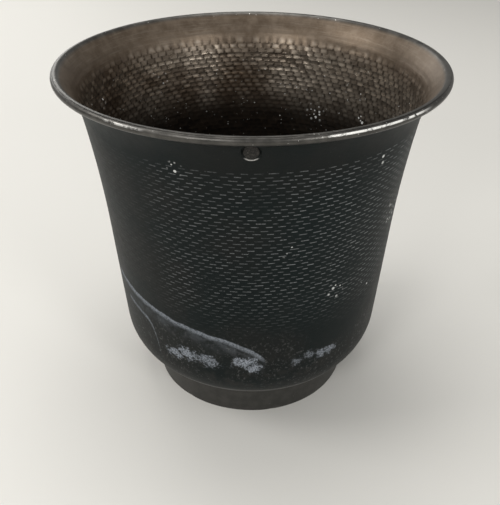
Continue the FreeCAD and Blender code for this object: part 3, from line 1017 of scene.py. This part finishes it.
def inside_skin(skin):
    """The colour of the inside, and its relief."""
    turn, height, run, mottled, deep = skin.turn, skin.height, skin.run, skin.mottled, skin.deep
    polish = clouds(skin.rings, 1.6 * MM, 4, 0.65)
    flare = paint(mottled.rises(0.3, 0.72), FLARE_BROWN, FLARE_WARM)
    flare = paint(polish.rises(0.5, 0.72) * 0.4, flare, FLARE_POLISHED)
    # painted light: the hammered part is painted paler on the right, its lit side, and also in random
    # broad patches
    painted_lit_side = turn.rises(50, 100) * turn.rises(178, 150)
    beaten = paint(skin.broad.rises(0.35, 0.62).most(painted_lit_side), HAMMERED_BROWN, HAMMERED_GREY_AND_LIT_SIDE)
    colour = paint(height.rises(0.262, 0.246), flare, beaten)
    # painted shade: the inside is painted near black with depth, where shade falls in the pot
    colour = paint(deep * 0.96, colour, DEEP_SHADE_BLACK)

    across, up, draw = blow_pattern(skin)
    hammered = run.rises(DENTS_START, DENTS_START + 9 * MM)
    # painted shade: a dark line along each dent's border, between the facets
    shaded_gaps = across.rises(0.5, 1.0).most(up.rises(0.6, 1.0) * 0.3)
    shaded_gaps = shaded_gaps * hammered * skin.grain.rises(0.25, 0.55)
    colour = paint(shaded_gaps * mottled.rises(0.25, 0.5) * 0.8, colour, GAP_SHADE_BLACK)
    colour = paint(draw.rises(0.45, 0.95) * hammered * 0.42, colour, DULL_BLOW)
    # painted highlight: a bright patch in the middle of many dents
    middle = across.rises(0.95, 0.1) * up.rises(0.95, 0.1) * draw.rises(0.8, 0.1)
    colour = paint(middle * hammered * (1 - deep) * 0.5, colour, BLOW_HIGHLIGHT)

    dirt = height.rises(0.05, 0.028) * clouds(skin.rings, 5 * MM, 4, 0.7).rises(0.38, 0.66)
    colour = paint(dirt * 0.6, colour, SETTLED)
    # painted shade: a thin darker line along the crease
    crease = abs(run - CREASE_RUN).rises(2.4 * MM, 0.3 * MM) * mottled.rises(0.3, 0.6)
    colour = paint(crease * 0.16, colour, CREASE_SHADE_BROWN)
    return colour, (0.25 * polish + 0.6 * shaded_gaps - 0.3 * crease) * skin.inside


print(f"the crease lies {(DENTS_START - CREASE_RUN) / MM:.1f} mm above the first dents")

# %% [markdown]
# ## The rolled edge
# Everything that touches a pot touches its edge. It is rubbed to grey, with a groove along its
# top painted dark as a painted shade, and bright nicks. Two bright streaks lie on its outward side,
# scuffs with a painted highlight: a bright one at the front right and a weaker one at the front left.

# %% The rolled edge
EDGE_DARK = (0.062, 0.06, 0.056)
EDGE_GREY = (0.115, 0.11, 0.102)
EDGE_BRIGHT = (0.9, 0.89, 0.86)
GROOVE_SHADE_BLACK = (0.012, 0.011, 0.010)
RAW_EDGE = (0.2, 0.19, 0.175)
GROOVE_RUN = BEAD_RUN - 3.8 * MM
SCUFF_AND_HIGHLIGHT_RUN = BEAD_RUN - 5.9 * MM
RAW_EDGE_RUN = LIP_RUN + ROLL_TURN * WIRE_GAP_RADIUS + SHEET


def edge_skin(skin):
    """The colour of the rolled edge, its groove painted as shade, and its scuffs with a painted
    highlight.
    """
    place, turn, run = skin.place, skin.turn, skin.run
    # painted shade: the groove along the edge's top is painted dark
    groove = abs(run - GROOVE_RUN).rises(0.42 * MM, 0.12 * MM)
    groove = groove * clouds(place, 14 * MM, 2).rises(0.25, 0.45)
    colour = paint(skin.mottled.rises(0.3, 0.75), EDGE_DARK, EDGE_GREY)
    # scuffs with a painted highlight on the edge's outward side, front right and front left
    scuff_and_highlight = turn.rises(13, 24) * turn.rises(53, 44)
    scuff_and_highlight = scuff_and_highlight + turn.rises(-39, -35) * turn.rises(-25, -28) * 0.5
    scuff_and_highlight = scuff_and_highlight * abs(run - SCUFF_AND_HIGHLIGHT_RUN).rises(1.0 * MM, 0.4 * MM)
    scuff_and_highlight = scuff_and_highlight * clouds(place, 7 * MM, 5, 0.75).rises(0.4, 0.52)
    nicks = specks(place, 3 * MM, 0.6 * MM, 0.3).most(clouds(place, 5 * MM, 5, 0.7).rises(0.68, 0.74))
    colour = paint((nicks * 0.7).most(scuff_and_highlight), colour, EDGE_BRIGHT)
    colour = paint(groove, colour, GROOVE_SHADE_BLACK)
    colour = paint(abs(run - RAW_EDGE_RUN).rises(0.7 * MM, 0.2 * MM), colour, RAW_EDGE)
    return colour, groove, scuff_and_highlight


print(f"edge {(BEAD_RUN - LIP_RUN) / MM:.1f} mm of run")

# %% [markdown]
# ## The three skins together
# The run says which skin a point has. The lower lip of the rivet's seat is painted bright in a
# crescent, wear with a painted highlight. Bare metal is metallic and lacquer isn't. Chips and lime
# are rougher than what they lie on, and chips and the highlighted scuffs are less metallic. One
# bump joins the relief of them all.

# %% The three skins together
WORN_LIP_AND_HIGHLIGHT = (0.42, 0.41, 0.39)


def worn_and_lit_crescent(skin):
    """1 on the lower lip of the rivet's seat: wear with a painted highlight."""
    apart = skin.place.vector("SUBTRACT", tuple(rivet_place))
    depth = apart.vector("DOT_PRODUCT", tuple(rivet_axis), output=1)
    distance = apart.vector("LENGTH", (0, 0, 0), output=1)
    radial = distance.math("SQRT", distance * distance - depth * depth)
    # wear with a painted highlight on the lower lip of the rivet's seat
    crescent = abs(radial - SEAT_RADIUS - 0.35 * MM).rises(0.5 * MM, 0.15 * MM)
    crescent = crescent * skin.height.rises(rivet_place.z - 3.6 * MM, rivet_place.z - 5.2 * MM)
    return crescent * skin.outside * distance.rises(SEAT_REACH, SEAT_REACH - MM)


def make_black_iron():
    material, shader, place = finish("black_iron")
    skin = share_out(place)
    lines, lime, white = hammer_line_wear_and_glints(skin), lime_marks(skin), white_specks(skin)
    # the pale crest lines: worn lacquer with a painted highlight
    lacquer = paint(lines, lacquer_skin(skin), LINE_WEAR_AND_GLINT_GREY)
    lacquer = paint(lime * skin.outside, lacquer, LIME)
    brown, relief = inside_skin(skin)
    rubbed, groove, scuff_and_highlight = edge_skin(skin)
    colour = paint(skin.edge, paint(skin.inside, lacquer, brown), rubbed)
    colour = paint(white * 0.9, colour, WHITE)
    colour = paint(worn_and_lit_crescent(skin) * 0.8, colour, WORN_LIP_AND_HIGHLIGHT)

    metallic = skin.edge.most(skin.inside * 0.8) * (1 - white.most(scuff_and_highlight * 0.8))
    roughness = 0.5 + 0.16 * (skin.mottled - 0.5) + 0.08 * (skin.grain - 0.5)
    hammered = skin.height.rises(0.268, 0.25) * (1 - skin.deep)
    roughness = roughness - skin.inside * (0.08 + 0.13 * hammered) - 0.12 * skin.edge
    roughness = roughness + 0.3 * white.most(lime * skin.outside) + 0.15 * skin.deep * skin.inside
    bump = 0.35 * skin.grain + 0.5 * skin.mottled + 0.55 * lines - 1.2 * groove
    bump = bump + 0.35 * white + 0.2 * lime + relief
    shader.inputs["Specular IOR Level"].default_value = 0.12
    return dress(material, shader, colour, roughness, metallic, bump, 0.18 * MM)


wear(vessel, make_black_iron())

# %% [markdown]
# ## The small finishes
# The foot is the same black iron, but handled more: it is browner, with a rubbed lower edge and
# rings of fine scratches. The rivet's head is pitted and rubbed. The brazing has the dull yellow of
# brass under soot, and the wire in the rolled edge is plain drawn iron.

# %% The small finishes
FOOT_RING_STRETCH = 0.05


def make_foot_iron():
    material, shader, place = finish("foot_iron")
    angle, height = round_axis(place)
    rings = pair(angle * (FOOT_RADIUS * FOOT_RING_STRETCH), height)
    mottled = clouds(place, 8 * MM, 5, 0.6)
    grain = clouds(place, 1.1 * MM, 3, 0.6)
    scratches = clouds(rings, 0.9 * MM, 4, 0.7)
    colour = paint(mottled.rises(0.35, 0.68), (0.028, 0.0275, 0.0245), (0.044, 0.042, 0.038))
    colour = paint(scratches.rises(0.56, 0.74) * 0.4, colour, (0.06, 0.056, 0.05))
    rubbed = height.rises(1.6 * MM, 0.3 * MM) * mottled.rises(0.35, 0.6)
    colour = paint(rubbed * 0.7, colour, (0.11, 0.105, 0.098))
    dust = specks(place, 4.2 * MM, 0.5 * MM, 0.12)
    colour = paint(dust * 0.7, colour, (0.3, 0.29, 0.27))
    roughness = 0.46 + 0.2 * (mottled - 0.5) + 0.1 * (grain - 0.5) + 0.2 * dust
    bump = 0.5 * mottled + 0.3 * grain + 0.35 * scratches
    shader.inputs["Specular IOR Level"].default_value = 0.35
    return dress(material, shader, colour, roughness, 0.15 + 0.5 * rubbed, bump, 0.15 * MM)


def make_rivet_iron():
    material, shader, place = finish("rivet_iron")
    grain = clouds(place, 1.2 * MM, 4, 0.65)
    scored = clouds(place, 0.9 * MM, 2, 0.7).rises(0.5, 0.66)
    colour = paint(grain.rises(0.35, 0.7), (0.007, 0.0068, 0.006), (0.017, 0.0155, 0.0135))
    colour = paint(scored * grain.rises(0.3, 0.5) * 0.5, colour, (0.11, 0.102, 0.09))
    roughness = 0.45 + 0.25 * (grain - 0.5)
    shader.inputs["Specular IOR Level"].default_value = 0.25
    return dress(material, shader, colour, roughness, 0.1 + 0.4 * scored, grain - 0.6 * scored, 0.2 * MM)


def make_braze():
    material, shader, place = finish("braze")
    mottled = clouds(place, 5 * MM, 5, 0.6)
    pits = specks(place, 1.6 * MM, 0.4 * MM, 0.3)
    colour = paint(mottled.rises(0.36, 0.64), (0.035, 0.029, 0.021), (0.17, 0.12, 0.065))
    colour = paint(pits, colour, (0.02, 0.016, 0.012))
    roughness = 0.42 + 0.3 * (mottled - 0.5)
    metallic = mottled.rises(0.3, 0.6) * 0.8
    return dress(material, shader, colour, roughness, metallic, mottled - 0.5 * pits, 0.2 * MM)


def make_wire_iron():
    material, shader, place = finish("wire_iron")
    mottled = clouds(place, 4 * MM, 4, 0.6)
    colour = paint(mottled.rises(0.36, 0.64), (0.06, 0.052, 0.045), (0.2, 0.17, 0.14))
    return dress(material, shader, colour, 0.45 + 0.25 * (mottled - 0.5), 0.8, mottled, 0.1 * MM)


wear(foot_band, make_foot_iron())
wear(rivet, make_rivet_iron())
wear(brazing, make_braze())
wire_iron = make_wire_iron()
for slot in bpy.data.objects["rim_wire"].material_slots:
    slot.material = wire_iron
